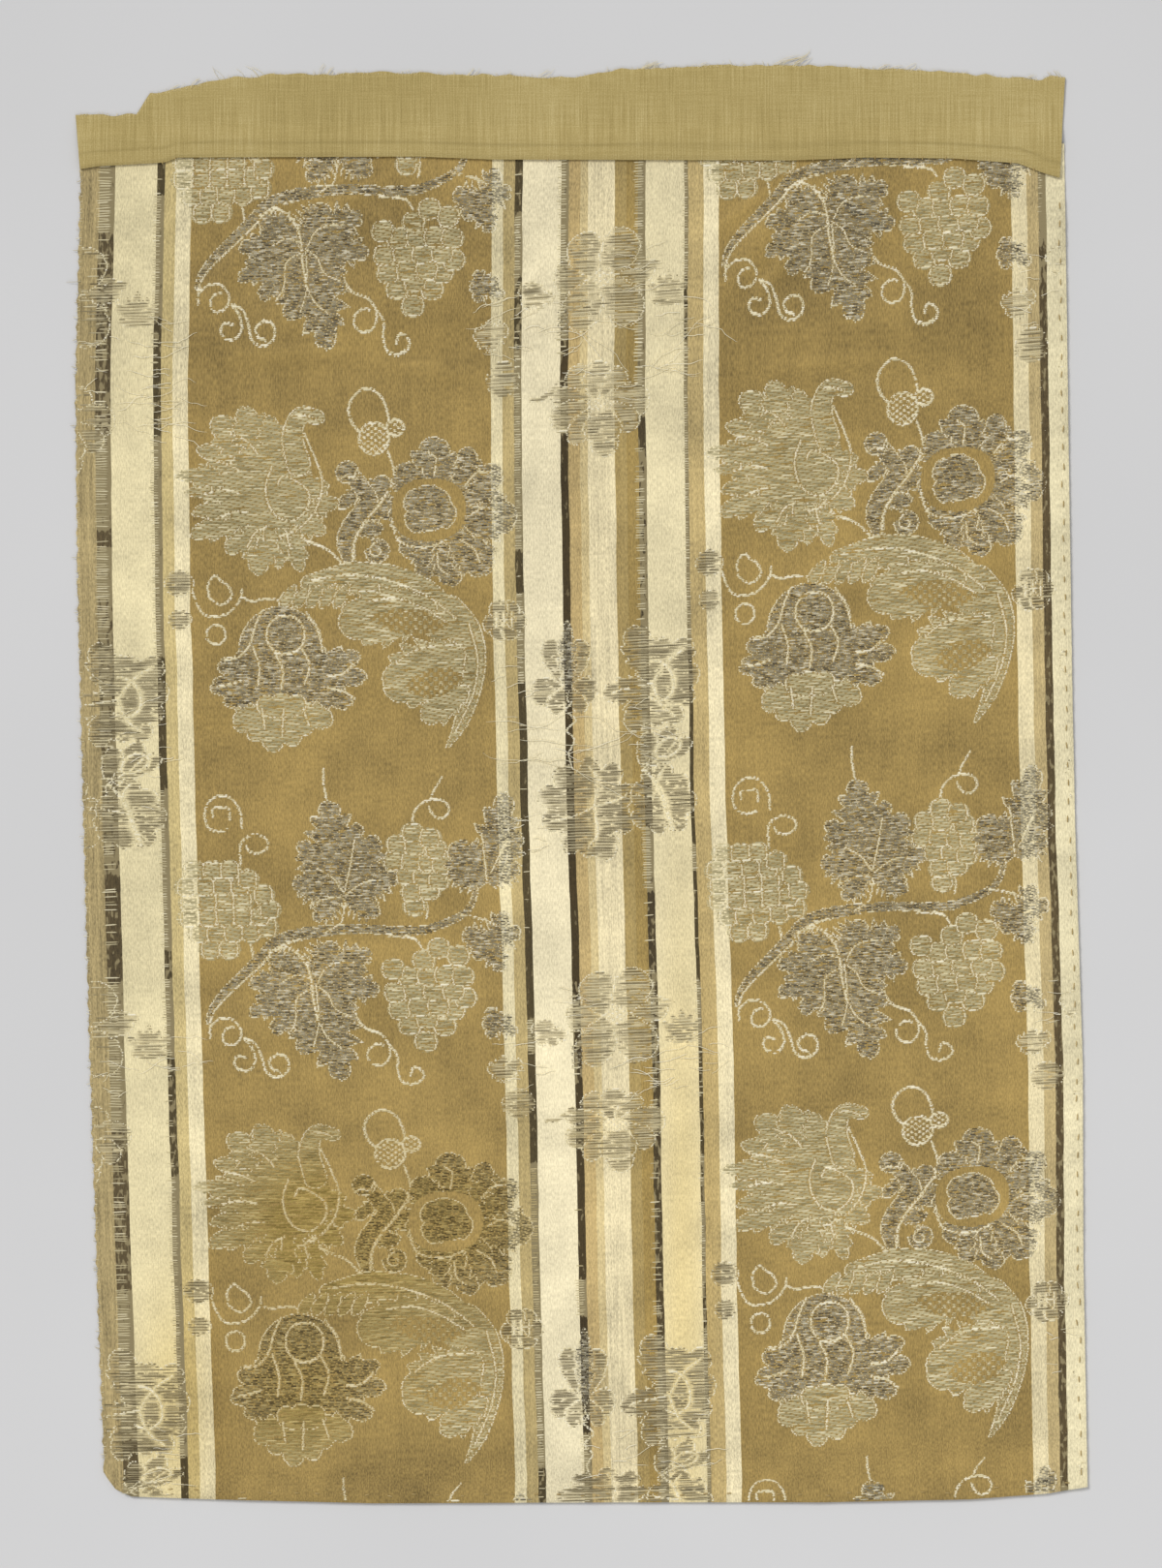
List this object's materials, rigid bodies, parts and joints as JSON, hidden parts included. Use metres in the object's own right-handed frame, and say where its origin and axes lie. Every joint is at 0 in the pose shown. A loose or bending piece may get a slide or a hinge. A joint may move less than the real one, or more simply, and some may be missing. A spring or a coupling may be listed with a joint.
{
  "type": "brocade panel",
  "caption": "Flat figured silk panel with light and dark stripes, turned side and bottom hems, and a plain-woven heading strip sewn over its top edge.",
  "frame": {"origin": "on the resting surface, under the centre of the whole piece's outline", "axes": "+X to the right across the cloth seen face on, +Y along the warp towards the heading, +Z out of the cloth's face, upwards"},
  "size_m": [0.5224, 0.7425, 0.0031],
  "materials": {
    "brocade": "silk satin ground with raised metal-wrapped and silk floats",
    "heading": "matt slubby plain weave with a raw torn edge"
  },
  "bodies": {
    "root": {"brocade_panel": "brocade", "heading_band": "heading"}
  },
  "joints": []
}
